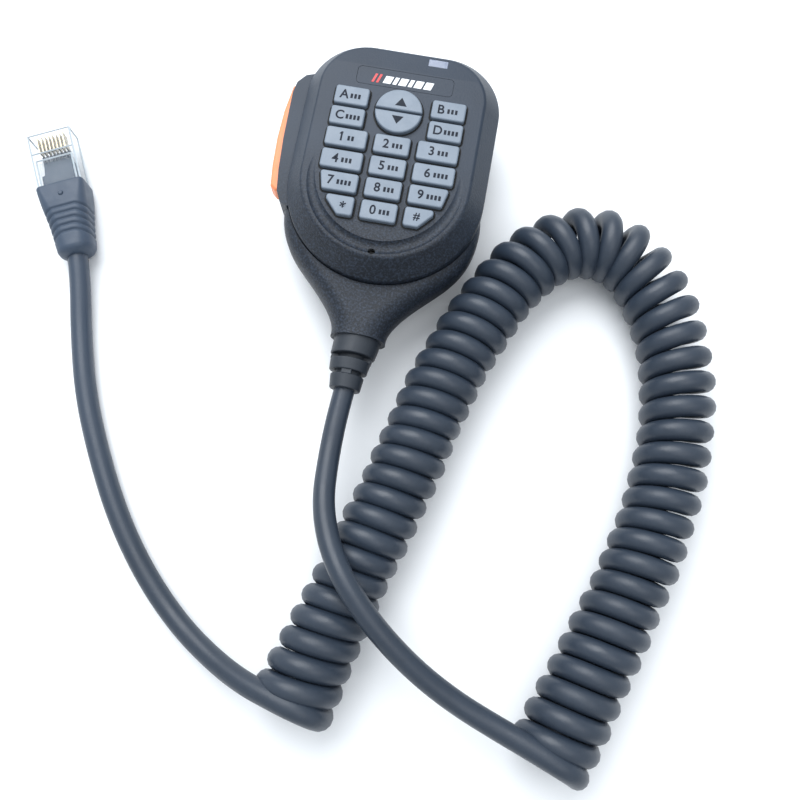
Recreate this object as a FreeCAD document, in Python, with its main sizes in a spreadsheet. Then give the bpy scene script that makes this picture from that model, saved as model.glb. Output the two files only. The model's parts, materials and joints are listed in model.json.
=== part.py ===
"""Hand microphone with a keypad, a side talk bar, a curly cord and an eight-way modular plug.

Frame: millimetres, +Z out of the keypad, +Y to the top of the microphone, +X to the right
seen from the keypad side. The origin is the centre of the hanger button's flat face.
"""

import math
import os

import FreeCAD
import Part

Vector = FreeCAD.Vector
Rotation = FreeCAD.Rotation
Placement = FreeCAD.Placement
X_AXIS, Y_AXIS, Z_AXIS = Vector(1, 0, 0), Vector(0, 1, 0), Vector(0, 0, 1)

doc = FreeCAD.newDocument("HandMicrophone")

# ---------------------------------------------------------------- driving dimensions
sizes = doc.addObject("Spreadsheet::Sheet", "Sizes")
DRIVING = {
    # casing
    "half_width": 25.6, "top_end": 35.2, "corner_radius": 15.8, "bow_centre": -4.4,
    "wall": 2.2, "floor_level": 5.5, "parting": 17.5, "shoulder": 21.0, "face_level": 26.8,
    "band_angle": 35.9, "slope_start": 25.9, "slope_angle": 9.0, "edge_round": 1.1,
    "floor_round": 5.0, "groove_radius": 18.8,
    # neck, strain relief and cord
    "neck_half": 6.6, "neck_end": -43.7, "exit_level": 13.0, "relief_end": -57.0,
    "cord_dia": 5.5, "coil_dia": 19.1,
    # keys
    "key_tall": 5.1, "key_proud": 1.3, "key_gap": 0.2, "key_travel": 1.0,
    "board_bottom": 20.0, "board_top": 21.6,
    # talk bar
    "bar_low": 11.0, "bar_high": 17.2, "pivot_x": -28.0, "pivot_y": 21.0, "pin_dia": 1.6,
    # hanger button
    "button_dia": 15.0, "button_thick": 2.8, "button_neck": 8.5,
    # plug
    "plug_wide": 11.7, "plug_tall": 6.5, "plug_long": 21.5, "plug_level": 5.5,
    "plug_turn": 26.9,
}
for row, (alias, value) in enumerate(DRIVING.items(), start=1):
    sizes.set(f"A{row}", alias)
    sizes.set(f"B{row}", str(value))
    sizes.setAlias(f"B{row}", alias)
doc.recompute()


def size(alias):
    """Value of one driving dimension."""
    return float(getattr(sizes, alias))


WALL = size("wall")
FLOOR = size("floor_level")
PARTING = size("parting")
SHOULDER = size("shoulder")
FACE = size("face_level")
CEILING = FACE - WALL
BOW_Y = size("bow_centre")
HALF = size("half_width")
CORD_R = size("cord_dia") / 2
EXIT_Z = size("exit_level")
NECK_END = size("neck_end")
RELIEF_END = size("relief_end")
BOARD_LOW = size("board_bottom")
BOARD_TOP = size("board_top")
PLUG_PLACE = Placement(Vector(-80.6, -31.2, size("plug_level")), Rotation(Z_AXIS, size("plug_turn")))

nodes = []


def node(obj, label):
    """Name a finished sub-part and add it to the list that is exported."""
    obj.Label = label
    nodes.append(obj)
    return obj


# ---------------------------------------------------------------- outlines
def line(a, b):
    return Part.LineSegment(Vector(a[0], a[1], 0), Vector(b[0], b[1], 0))


def arc(centre, radius, start, end):
    """Counter-clockwise arc, angles in degrees."""
    circle = Part.Circle(Vector(centre[0], centre[1], 0), Z_AXIS, radius)
    return Part.ArcOfCircle(circle, math.radians(start), math.radians(end))


def ring(centre, radius):
    return Part.Circle(Vector(centre[0], centre[1], 0), Z_AXIS, radius)


def casing_outline(inset):
    """Rounded square with a half-round lower end, moved in by inset."""
    w = HALF - inset
    top = size("top_end") - inset
    r = size("corner_radius") - inset
    cx, cy = w - r, top - r
    return [
        line((w, BOW_Y), (w, cy)),
        arc((cx, cy), r, 0, 90),
        line((cx, top), (-cx, top)),
        arc((-cx, cy), r, 90, 180),
        line((-w, cy), (-w, BOW_Y)),
        arc((0, BOW_Y), w, 180, 360),
    ]


def rounded_polygon(points, radius):
    """Closed outline through convex counter-clockwise points, each corner an arc."""
    curves = []
    count = len(points)
    ends = []
    for i in range(count):
        here = Vector(*points[i], 0)
        back = (Vector(*points[i - 1], 0) - here).normalize()
        ahead = (Vector(*points[(i + 1) % count], 0) - here).normalize()
        half = back.getAngle(ahead) / 2
        run = radius / math.tan(half)
        middle = (back + ahead).normalize()
        centre = here + middle * (radius / math.sin(half))
        ends.append((here + back * run, centre - middle * radius, here + ahead * run))
    for i in range(count):
        first, through, last = ends[i]
        curves.append(Part.Arc(first, through, last))
        curves.append(Part.LineSegment(last, ends[(i + 1) % count][0]))
    return curves


def grown(points, gap):
    """Convex counter-clockwise polygon with every side moved out by gap."""
    sides = []
    count = len(points)
    for i in range(count):
        a, b = points[i], points[(i + 1) % count]
        dx, dy = b[0] - a[0], b[1] - a[1]
        length = math.hypot(dx, dy)
        nx, ny = dy / length, -dx / length
        sides.append((nx, ny, nx * a[0] + ny * a[1] + gap))
    out = []
    for i in range(count):
        n1, n2 = sides[i - 1], sides[i]
        det = n1[0] * n2[1] - n1[1] * n2[0]
        out.append(((n1[2] * n2[1] - n1[1] * n2[2]) / det, (n1[0] * n2[2] - n1[2] * n2[0]) / det))
    return out


def box_points(x0, y0, x1, y1):
    return [(x0, y0), (x1, y0), (x1, y1), (x0, y1)]


def box_outline(x0, y0, x1, y1):
    p = box_points(x0, y0, x1, y1)
    return [line(p[i], p[(i + 1) % 4]) for i in range(4)]


# ---------------------------------------------------------------- feature helpers
def new_body(label):
    return node(doc.addObject("PartDesign::Body", "Body_" + label), label)


def origin_plane(body, role):
    return next(f for f in body.Origin.OriginFeatures if f.Role == role)


def sketch(body, curves, level=0.0, role="XY_Plane"):
    """Sketch on one of the body's own origin planes, moved along the plane's normal."""
    sk = body.newObject("Sketcher::SketchObject", "Sketch")
    sk.AttachmentSupport = [(origin_plane(body, role), "")]
    sk.MapMode = "FlatFace"
    sk.AttachmentOffset = Placement(Vector(0, 0, level), Rotation())
    sk.addGeometry(curves, False)
    return sk


def pad(body, curves, level, length, taper=0.0, role="XY_Plane", bind=None):
    feature = body.newObject("PartDesign::Pad", "Pad")
    feature.Profile = sketch(body, curves, level, role)
    feature.Length = length
    feature.TaperAngle = taper
    if bind:
        feature.setExpression("Length", bind)
    doc.recompute()
    return feature


def pocket(body, curves, level, depth, upward=False, taper=0.0, role="XY_Plane"):
    """Cut along or against the plane's normal, and insist that something was cut."""
    before = body.Shape.Volume
    feature = body.newObject("PartDesign::Pocket", "Pocket")
    feature.Profile = sketch(body, curves, level, role)
    feature.Length = depth
    feature.Reversed = upward
    feature.TaperAngle = taper
    doc.recompute()
    if not body.Shape.Volume < before - 1e-3:
        raise RuntimeError(f"{body.Label}: a pocket cut nothing")
    return feature


def cut_box(body, low, high, turn=None):
    """Take a box out of a body, turned about its low corner if asked."""
    before = body.Shape.Volume
    feature = body.newObject("PartDesign::SubtractiveBox", "BoxCut")
    feature.Length, feature.Width, feature.Height = [b - a for a, b in zip(low, high)]
    feature.AttachmentSupport = [(origin_plane(body, "XY_Plane"), "")]
    feature.MapMode = "FlatFace"
    feature.AttachmentOffset = Placement(Vector(*low), turn or Rotation())
    doc.recompute()
    if not body.Shape.Volume < before - 1e-3:
        raise RuntimeError(f"{body.Label}: a box cut nothing")
    return feature


def round_edges(body, radius, chosen):
    """Fillet the edges that the test function picks."""
    feature = body.newObject("PartDesign::Fillet", "Fillet")
    base = feature.BaseFeature
    names = [f"Edge{i}" for i, e in enumerate(base.Shape.Edges, start=1) if chosen(e)]
    feature.Base = (base, names)
    feature.Radius = radius
    doc.recompute()
    return feature


def level_edge(z, tolerance=1e-3):
    """Test for edges that lie wholly at one height."""
    return lambda e: abs(e.BoundBox.ZMin - z) < tolerance and abs(e.BoundBox.ZMax - z) < tolerance


def cylinder(radius, length, base, axis=Z_AXIS, bind=None):
    obj = doc.addObject("Part::Cylinder", "Cylinder")
    obj.Radius = radius
    obj.Height = length
    obj.Placement = Placement(Vector(*base), Rotation(Z_AXIS, axis))
    if bind:
        obj.setExpression("Radius", bind)
    return obj


def cuboid(low, high):
    obj = doc.addObject("Part::Box", "Box")
    obj.Length, obj.Width, obj.Height = [b - a for a, b in zip(low, high)]
    obj.Placement = Placement(Vector(*low), Rotation())
    return obj


def cut(base, tools, label=None):
    """Base less every tool in turn."""
    for tool in tools:
        result = doc.addObject("Part::Cut", "Cut")
        result.Base, result.Tool = base, tool
        base = result
    return node(base, label) if label else base


def fuse(shapes, label=None):
    result = doc.addObject("Part::MultiFuse", "Fusion")
    result.Shapes = shapes
    return node(result, label) if label else result


def group(shapes, label):
    """Several separate solids that are one node."""
    result = doc.addObject("Part::Compound", "Group")
    result.Links = shapes
    return node(result, label)


# ---------------------------------------------------------------- keys
KEY_ARC = 16.4
LOW_ARC = 16.0
HALF_TALL = size("key_tall") / 2
KEY_CORNER = 0.75


def rect_key(width):
    return box_points(-width / 2, -HALF_TALL, width / 2, HALF_TALL)


def arc_limit(y, radius):
    """Distance from the centreline at which a circle about the bow centre crosses height y."""
    return math.sqrt(radius**2 - (y - BOW_Y) ** 2)


def seven_key(x, y, inner):
    """Key whose outer end leans in with the keypad's round lower edge, drawn on the left."""
    low = -arc_limit(y - HALF_TALL, KEY_ARC) - x
    high = -arc_limit(y + HALF_TALL, KEY_ARC) - x
    return [(low, -HALF_TALL), (inner, -HALF_TALL), (inner, HALF_TALL), (high, HALF_TALL)]


def star_key(x, y, inner, outer):
    """Key with its outer lower corner cut off along the keypad's round lower edge."""
    low = -arc_limit(y - HALF_TALL, LOW_ARC) - x
    side = 1.2
    return [(low, -HALF_TALL), (inner, -HALF_TALL), (inner, HALF_TALL), (outer, HALF_TALL),
            (outer, side)]


def mirrored(points):
    return [(-x, y) for x, y in reversed(points)]


WIDE, MIDDLE, LETTER = 10.5, 9.1, 8.7
KEYS = {
    "key_a": ((-12.5, 15.8), rect_key(LETTER)),
    "key_b": ((12.5, 15.8), rect_key(LETTER)),
    "key_c": ((-12.6, 9.9), rect_key(LETTER)),
    "key_d": ((12.6, 9.9), rect_key(LETTER)),
    "key_1": ((-11.7, 4.0), rect_key(WIDE)),
    "key_2": ((0.0, 4.0), rect_key(MIDDLE)),
    "key_3": ((11.7, 4.0), rect_key(WIDE)),
    "key_4": ((-11.7, -2.1), rect_key(WIDE)),
    "key_5": ((0.0, -2.1), rect_key(MIDDLE)),
    "key_6": ((11.7, -2.1), rect_key(WIDE)),
    "key_7": ((-11.2, -8.1), seven_key(-11.2, -8.1, 4.75)),
    "key_8": ((0.0, -8.1), rect_key(MIDDLE)),
    "key_9": ((11.2, -8.1), mirrored(seven_key(-11.2, -8.1, 4.75))),
    "key_star": ((-9.9, -14.2), star_key(-9.9, -14.2, 3.55, -3.6)),
    "key_0": ((0.0, -14.2), rect_key(MIDDLE)),
    "key_hash": ((9.9, -14.2), mirrored(star_key(-9.9, -14.2, 3.55, -3.6))),
}
ROCKER_Y, ROCKER_R, ROCKER_SPLIT = 13.6, 6.05, 0.28
STEM_R = 1.7
STEM_BOTTOM = BOARD_TOP + size("key_travel") + 0.15
TAB_LOW, TAB_HIGH, TAB_OUT = 23.4, 24.3, 0.5
ROCKER_STEM = 3.0


def half_disc(side, gap=0.0):
    """Upper (side 1) or lower (side -1) half of the arrow key pair, grown by gap."""
    r = ROCKER_R + gap
    y = ROCKER_SPLIT - gap
    turn = math.degrees(math.asin(y / r))
    x = math.sqrt(r**2 - y**2)
    if side > 0:
        return [arc((0, ROCKER_Y), r, turn, 180 - turn), line((-x, ROCKER_Y + y), (x, ROCKER_Y + y))]
    return [arc((0, ROCKER_Y), r, 180 + turn, 360 - turn), line((x, ROCKER_Y - y), (-x, ROCKER_Y - y))]


def moved(points, x, y):
    return [(px + x, py + y) for px, py in points]


def key_stems():
    """Centre of every key's stem in the keypad."""
    stems = [place for place, _ in KEYS.values()]
    return stems + [(0.0, ROCKER_Y + ROCKER_STEM), (0.0, ROCKER_Y - ROCKER_STEM)]


def key_openings():
    curves = []
    gap = size("key_gap")
    for (x, y), points in KEYS.values():
        curves += rounded_polygon(grown(moved(points, x, y), gap), KEY_CORNER + gap)
    r = ROCKER_R + gap
    return curves + [ring((0, ROCKER_Y), r)]


# ---------------------------------------------------------------- screw places
CASE_POSTS = [(16.8, 26.4), (-16.8, 26.4), (15.15, -17.15), (-15.15, -17.15)]
BOARD_POSTS = [(20.4, 20.0), (-20.4, 20.0), (20.4, -8.0), (-20.4, -8.0)]
CASE_POST_R, BOARD_POST_R = 2.6, 1.7
PORT = (0.0, -24.2)
CAPSULE = (0.0, -22.9)


# ---------------------------------------------------------------- front shell
NAMEPLATE = box_points(-12.6, 20.4, 12.6, 25.5)
NAMEPLATE_THICK = 0.35
GROOVE_TILT = 2.6
LENS_LOW = (5.0, 28.2, 23.2)
LENS_HIGH = (10.1, 30.6, 27.0)
LENS_GAP = 0.05


def front_shell():
    body = new_body("front_shell")
    pad(body, casing_outline(0), PARTING, SHOULDER - PARTING, bind="Sizes.shoulder - Sizes.parting")
    pad(body, casing_outline(0), SHOULDER, FACE - SHOULDER, taper=-size("band_angle"),
        bind="Sizes.face_level - Sizes.shoulder")
    slope_y = size("slope_start")
    run = 12.0
    drop = run * math.tan(math.radians(size("slope_angle")))
    wedge = [line((slope_y, FACE), (slope_y + run, FACE - drop)),
             line((slope_y + run, FACE - drop), (slope_y + run, FACE + 1)),
             line((slope_y + run, FACE + 1), (slope_y, FACE + 1)),
             line((slope_y, FACE + 1), (slope_y, FACE))]
    pocket(body, wedge, -HALF, 2 * HALF, upward=True, role="YZ_Plane")

    def is_rim(edge):
        """Edge between the raked band and the two upper faces, but not the crease between those."""
        box = edge.BoundBox
        crease = abs(box.YMin - slope_y) < 1e-3 and abs(box.YMax - slope_y) < 1e-3
        return box.ZMin > SHOULDER + 1 and not crease

    round_edges(body, size("edge_round"), is_rim)
    round_edges(body, size("edge_round"), level_edge(SHOULDER))
    pocket(body, casing_outline(WALL), PARTING, SHOULDER - PARTING, upward=True)
    pocket(body, casing_outline(WALL), SHOULDER, CEILING - SHOULDER, upward=True,
           taper=-size("band_angle"))
    posts = [ring(p, CASE_POST_R) for p in CASE_POSTS]
    pad(body, posts, PARTING, CEILING - PARTING + 0.3)
    pad(body, [ring(p, BOARD_POST_R) for p in BOARD_POSTS], BOARD_TOP, CEILING - BOARD_TOP + 0.3)
    pocket(body, [ring(p, 1.0) for p in CASE_POSTS], PARTING, 5.5, upward=True)
    pocket(body, [ring(p, 0.8) for p in BOARD_POSTS], BOARD_TOP, 2.4, upward=True)
    pocket(body, key_openings(), FACE, WALL + 0.5)
    pocket(body, [ring(PORT, 0.95)], FACE, WALL + 0.5)
    pocket(body, rounded_polygon(NAMEPLATE, 1.2), FACE, NAMEPLATE_THICK)
    groove = body.newObject("PartDesign::SubtractiveTorus", "RingGroove")
    groove.Radius1 = size("groove_radius")
    groove.setExpression("Radius1", "Sizes.groove_radius")
    groove.Radius2 = 2.0
    groove.AttachmentSupport = [(origin_plane(body, "XY_Plane"), "")]
    groove.MapMode = "FlatFace"
    groove.AttachmentOffset = Placement(Vector(0, BOW_Y, FACE + 1.85), Rotation(X_AXIS, GROOVE_TILT))
    doc.recompute()
    cut_box(body, LENS_LOW, LENS_HIGH, Rotation(X_AXIS, -size("slope_angle")))
    return body


def front_pieces():
    plate = new_body("nameplate")
    inset = grown(NAMEPLATE, -0.1)
    pad(plate, rounded_polygon(inset, 1.1), FACE - NAMEPLATE_THICK, NAMEPLATE_THICK)
    lens = cuboid((0, 0, 0), (LENS_HIGH[0] - LENS_LOW[0] - 2 * LENS_GAP,
                              LENS_HIGH[1] - LENS_LOW[1] - 2 * LENS_GAP, 2.15))
    tilt = Rotation(X_AXIS, -size("slope_angle"))
    rise = 0.95
    corner = Vector(*LENS_LOW) + tilt.multVec(Vector(LENS_GAP, LENS_GAP, rise))
    lens.Placement = Placement(corner, tilt)
    node(lens, "led_lens")
    node(cuboid((6.3, 28.3, BOARD_TOP), (8.7, 30.1, BOARD_TOP + 1.3)), "indicator_led")


# ---------------------------------------------------------------- rear shell
THROAT_YS = [-6.0, -12.0, -18.0, -24.0, -29.0, -34.0, -39.0, NECK_END]
SPIGOT_R, SPIGOT_END = 4.4, -39.5
THROAT_ASIDE = 0.9


def neck_half_width(y):
    """Half width of the throat: a convex arc, a straight flank and a concave arc to the neck."""
    bend, convex_r, concave_r = math.radians(43), 26.0, 13.0
    start = -8.0
    flank_y = start - convex_r * math.sin(bend)
    end = NECK_END
    hollow_y = end + concave_r * math.sin(bend)
    neck = size("neck_half")
    if y > flank_y:
        return HALF - convex_r + math.sqrt(convex_r**2 - (y - start) ** 2)
    if y > hollow_y:
        hollow_x = neck + concave_r * (1 - math.cos(bend))
        return hollow_x + (y - hollow_y) * math.tan(bend)
    return neck + concave_r - math.sqrt(concave_r**2 - (y - end) ** 2)


def throat_section(y):
    """Rounded cross-section of the throat, deep and wide at the casing, round at the neck."""
    share = (y - THROAT_YS[0]) / (NECK_END - THROAT_YS[0])
    middle = math.sin(math.pi * share)
    w = (neck_half_width(y) if y < -8 else HALF - 0.2) + 0.95 * middle + 0.55 * share
    aside = -THROAT_ASIDE * (share / 3 + 0.2 * middle)
    low = FLOOR + 0.9 * share
    high = PARTING + 1.9 + 0.2 * share
    return rounded_polygon(box_points(aside - w, low, aside + w, high), 5.0 + 1.45 * share)


def rear_shell():
    body = new_body("rear_shell")
    pad(body, casing_outline(0), FLOOR, PARTING - FLOOR, bind="Sizes.parting - Sizes.floor_level")
    round_edges(body, size("floor_round"), level_edge(FLOOR))
    loft = body.newObject("PartDesign::AdditiveLoft", "Throat")
    sections = [sketch(body, throat_section(y), -y, role="XZ_Plane") for y in THROAT_YS]
    loft.Profile = sections[0]
    loft.Sections = sections[1:]
    loft.Ruled = False
    doc.recompute()
    seat = HALF + 0.25
    clear = [line((seat, BOW_Y), (seat, 0)), line((seat, 0), (-seat, 0)),
             line((-seat, 0), (-seat, BOW_Y)), arc((0, BOW_Y), seat, 180, 360)]
    pocket(body, clear, PARTING, 4.0, upward=True)
    pocket(body, casing_outline(WALL), FLOOR + WALL, PARTING - FLOOR - WALL, upward=True)
    cut_box(body, (-6.5, -37.0, 9.0), (6.5, -25.0, 17.0))
    pocket(body, [ring((0, EXIT_Z), CORD_R + 0.2)], 36.0, 8.0, upward=True, role="XZ_Plane")
    pocket(body, [ring((0, EXIT_Z), SPIGOT_R + 0.05)], -SPIGOT_END, 5.0, upward=True, role="XZ_Plane")
    pad(body, [ring(p, 2.9) for p in CASE_POSTS], FLOOR + WALL - 0.3, PARTING - FLOOR - WALL + 0.3)
    pocket(body, [ring(p, 2.3) for p in CASE_POSTS], FLOOR, 3.5, upward=True)
    pocket(body, [ring(p, 1.1) for p in CASE_POSTS], FLOOR + 3.0, PARTING - FLOOR - 3.0, upward=True)
    pocket(body, [ring((0, 0), 1.6)], FLOOR, WALL, upward=True)
    cut_box(body, (-26.5, 6.0, 12.0), (-22.0, 12.0, 16.4))
    return body


# ---------------------------------------------------------------- key caps
def key_caps():
    top = FACE + size("key_proud")
    for name, ((x, y), points) in KEYS.items():
        body = new_body(name)
        pad(body, rounded_polygon(points, KEY_CORNER), TAB_LOW, top - TAB_LOW,
            bind=f"Sizes.face_level + Sizes.key_proud - {TAB_LOW}")
        round_edges(body, 0.4, level_edge(top))
        left = min(p[0] for p in points) - TAB_OUT
        right = max(p[0] for p in points) + TAB_OUT
        pad(body, box_outline(left, 0.3, right, HALF_TALL - 0.5), TAB_LOW, TAB_HIGH - TAB_LOW)
        pad(body, [ring((0, 0), STEM_R)], STEM_BOTTOM, TAB_LOW - STEM_BOTTOM)
        body.Placement = Placement(Vector(x, y, 0), Rotation())
    for name, side in (("key_up", 1), ("key_down", -1)):
        body = new_body(name)
        pad(body, half_disc(side), TAB_LOW, top - TAB_LOW,
            bind=f"Sizes.face_level + Sizes.key_proud - {TAB_LOW}")
        round_edges(body, 0.4, level_edge(top))
        y0, y1 = sorted((ROCKER_Y + side * 1.5, ROCKER_Y + side * 2.5))
        reach = ROCKER_R + TAB_OUT
        pad(body, box_outline(-reach, y0, reach, y1), TAB_LOW, TAB_HIGH - TAB_LOW)
        pad(body, [ring((0, ROCKER_Y + side * ROCKER_STEM), STEM_R)], STEM_BOTTOM, TAB_LOW - STEM_BOTTOM)


# ---------------------------------------------------------------- inside the casing
def circuit():
    board = new_body("circuit_board")
    pad(board, casing_outline(WALL + 0.8), BOARD_LOW, BOARD_TOP - BOARD_LOW,
        bind="Sizes.board_top - Sizes.board_bottom")
    pocket(board, [ring(p, CASE_POST_R + 0.6) for p in CASE_POSTS], BOARD_TOP, 2.0)
    pocket(board, [ring(p, 1.0) for p in BOARD_POSTS], BOARD_TOP, 2.0)

    mat = new_body("keypad_mat")
    mat_outline = [(-18.0, -8.0), (-10.5, -18.6), (10.5, -18.6), (18.0, -8.0), (18.0, 19.8), (-18.0, 19.8)]
    pad(mat, rounded_polygon(mat_outline, 2.0), BOARD_TOP, 0.5)
    pocket(mat, [ring(p, STEM_R + 0.4) for p in key_stems()], BOARD_TOP + 0.5, 0.6)
    group([cylinder(1.4, 0.05, (x, y, BOARD_TOP)) for x, y in key_stems()], "contact_pads")

    chips = [cuboid((-2, 2, BOARD_LOW - 1.2), (5, 9, BOARD_LOW)),
             cuboid((9, -2, BOARD_LOW - 1.5), (13, 3, BOARD_LOW)),
             cuboid((8, 10, BOARD_LOW - 1.8), (14, 14, BOARD_LOW)),
             cuboid((-9, -6, BOARD_LOW - 0.9), (-6, -2, BOARD_LOW))]
    group(chips, "board_chips")
    lamps = [cuboid((x - 0.8, y - 0.4, BOARD_TOP), (x + 0.8, y + 0.4, BOARD_TOP + 0.6))
             for x in (-19.8, 19.8) for y in (2.0, 12.0)]
    group(lamps, "backlight_leds")
    screws = []
    for x, y in BOARD_POSTS:
        head = cylinder(1.5, 1.0, (x, y, BOARD_LOW - 1.0))
        shank = cylinder(0.75, 3.6, (x, y, BOARD_LOW - 0.2))
        screws.append(fuse([head, shank]))
    group(screws, "board_screws")
    cut(cuboid((-5, -20.5, 14.6), (5, -16.5, BOARD_LOW)),
        [cuboid((-4.2, -20.6, 15.2), (4.2, -18.5, 18.6))], "board_connector")


def capsule():
    cylinder_r = 2.0
    node(cylinder(cylinder_r, 1.7, (*CAPSULE, BOARD_TOP)), "microphone_capsule")
    sleeve = cylinder(cylinder_r + 0.5, 2.55, (*CAPSULE, BOARD_TOP))
    cut(sleeve, [cylinder(cylinder_r, 3.0, (*CAPSULE, BOARD_TOP - 0.1))], "capsule_sleeve")


def cord_inside():
    node(cylinder(CORD_R, 12.0, (0, -27.5, EXIT_Z), -Y_AXIS, bind="Sizes.cord_dia / 2"), "cord_tail")
    wires = []
    for i in range(6):
        column, shelf = i % 3 - 1, i // 3 * 2 - 1
        start = Vector(column * 2.4, -19.0, 17.4 + shelf * 0.65)
        end = Vector(column * 1.3, -27.5, EXIT_Z + shelf * 0.7)
        wires.append(cylinder(0.4, (end - start).Length, tuple(start), end - start))
    group(wires, "inner_wires")
    band = cylinder(CORD_R + 1.0, 3.0, (0, -30.0, EXIT_Z), -Y_AXIS)
    knot = cuboid((-2.0, -33.0, EXIT_Z + 2.9), (2.0, -30.0, EXIT_Z + 3.9))
    clamp = fuse([band, knot])
    cut(clamp, [cylinder(CORD_R, 4.0, (0, -29.5, EXIT_Z), -Y_AXIS)], "cord_clamp")


# ---------------------------------------------------------------- talk bar
def talk_bar():
    low, high = size("bar_low"), size("bar_high")
    block = doc.addObject("PartDesign::Body", "BezelBlock")
    outer = [(-24.2, 26.0), (-27.2, 25.0), (-29.2, 22.6), (-29.8, 19.6), (-29.5, 6.0), (-28.9, -3.1),
             (-28.1, -9.2), (-26.7, -12.2), (-24.2, -13.4)]
    pad(block, rounded_polygon(outer, 0.6), low - 2.3, high - low + 4.4)
    window = cuboid((-33.0, -9.2, low - 0.3), (-23.0, 23.4, high + 0.3))
    pin_r = size("pin_dia") / 2
    pivot = (size("pivot_x"), size("pivot_y"))
    pin_hole = cylinder(pin_r, high - low + 3.2, (*pivot, low - 1.7))
    rear = next(o for o in nodes if o.Label == "rear_shell")
    front = next(o for o in nodes if o.Label == "front_shell")
    cut(block, [window, pin_hole, rear, front], "ptt_bezel")
    pin = cylinder(pin_r, high - low + 3.2, (*pivot, low - 1.7), bind="Sizes.pin_dia / 2")
    node(pin, "ptt_pivot_pin")

    bar = new_body("ptt_button")
    face = [(-26.3, 22.9), (-30.6, 22.9), (-31.6, 15.0), (-31.8, 7.0), (-31.4, -1.0), (-30.7, -7.0),
            (-29.3, -8.2), (-27.9, -8.2)]
    pad(bar, rounded_polygon(face, 0.5), low, high - low, bind="Sizes.bar_high - Sizes.bar_low")
    round_edges(bar, 0.8, lambda e: bar_edge(e, low, high))
    pad(bar, box_outline(-27.6, 8.0, -24.45, 10.0), 13.0, 2.2)
    pocket(bar, [ring(pivot, pin_r + 0.05)], high, high - low)

    centre = (9.0, 14.1)
    body = cuboid((-22.9, 6.0, 11.1), (-18.9, 12.0, 17.1))
    pins = [cuboid((x, y, 17.1), (x + 0.4, y + 0.8, BOARD_LOW)) for x in (-22.3, -20.0)
            for y in (6.6, 10.6)]
    bore = cylinder(1.45, 1.75, (-22.95, *centre), X_AXIS)
    cut(fuse([body] + pins), [bore], "ptt_switch")
    node(cylinder(1.4, 2.1, (-24.3, *centre), X_AXIS), "ptt_plunger")


def bar_edge(edge, low, high):
    """Long edges of the bar's outer face, above and below."""
    flat = level_edge(low)(edge) or level_edge(high)(edge)
    return flat and edge.CenterOfMass.x < -30.3


# ---------------------------------------------------------------- fasteners and hanger button
def fasteners():
    screws = []
    for x, y in CASE_POSTS:
        head = cylinder(2.1, 1.6, (x, y, FLOOR + 1.9))
        slot = fuse([cuboid((x - 1.3, y - 0.25, FLOOR + 1.8), (x + 1.3, y + 0.25, FLOOR + 2.6)),
                     cuboid((x - 0.25, y - 1.3, FLOOR + 1.8), (x + 0.25, y + 1.3, FLOOR + 2.6))])
        shank = cylinder(0.95, PARTING + 4.5 - FLOOR - 3.4, (x, y, FLOOR + 3.4))
        screws.append(cut(fuse([head, shank]), [slot]))
    group(screws, "case_screws")

    button = new_body("hanger_button")
    thick = size("button_thick")
    pad(button, [ring((0, 0), size("button_dia") / 2)], 0, thick, bind="Sizes.button_thick")
    round_edges(button, 0.5, level_edge(0))
    pad(button, [ring((0, 0), size("button_neck") / 2)], thick, FLOOR - thick)
    pocket(button, [ring((0, 0), 1.5)], FLOOR, FLOOR - 2.0)

    inside = FLOOR + WALL
    washer = cylinder(4.0, 0.6, (0, 0, inside))
    cut(washer, [cylinder(1.6, 1.0, (0, 0, inside - 0.2))], "hanger_washer")
    head = cylinder(2.8, 1.7, (0, 0, inside + 0.6))
    shank = cylinder(1.45, inside + 0.7 - 2.2, (0, 0, 2.2))
    recess = fuse([cuboid((-1.7, -0.35, inside + 1.5), (1.7, 0.35, inside + 2.4)),
                   cuboid((-0.35, -1.7, inside + 1.5), (0.35, 1.7, inside + 2.4))])
    cut(fuse([head, shank]), [recess], "hanger_screw")


# ---------------------------------------------------------------- strain relief
def strain_relief():
    """Stepped flexible boot: three collars on a core, joined by ribs on alternate sides."""
    body = new_body("strain_relief")
    relief = body.newObject("PartDesign::Revolution", "Collars")
    core = 3.9
    steps = [(NECK_END, 6.2), (-48.2, 5.9), (-48.2, core), (-49.4, core), (-49.4, 5.3), (-52.3, 5.0),
             (-52.3, core), (-53.4, core), (-53.4, 4.5), (RELIEF_END, 4.2)]
    profile = [(0, SPIGOT_END), (SPIGOT_R, SPIGOT_END), (SPIGOT_R, NECK_END)]
    profile += [(r, y) for y, r in steps] + [(0, RELIEF_END)]
    curves = [line(profile[i], profile[(i + 1) % len(profile)]) for i in range(len(profile))]
    relief.Profile = sketch(body, curves)
    relief.ReferenceAxis = (relief.Profile[0], ["V_Axis"])
    relief.Angle = 360
    doc.recompute()
    for y_low, y_high, upright in ((-49.4, -48.2, False), (-53.4, -52.3, True)):
        reach, half = (5.5, 1.4) if not upright else (4.9, 1.3)
        x, z = (reach, half) if not upright else (half, reach)
        pad(body, box_outline(-x, -z, x, z), -y_high, y_high - y_low, role="XZ_Plane")
    body.Placement = Placement(Vector(0, 0, EXIT_Z), Rotation())


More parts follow.
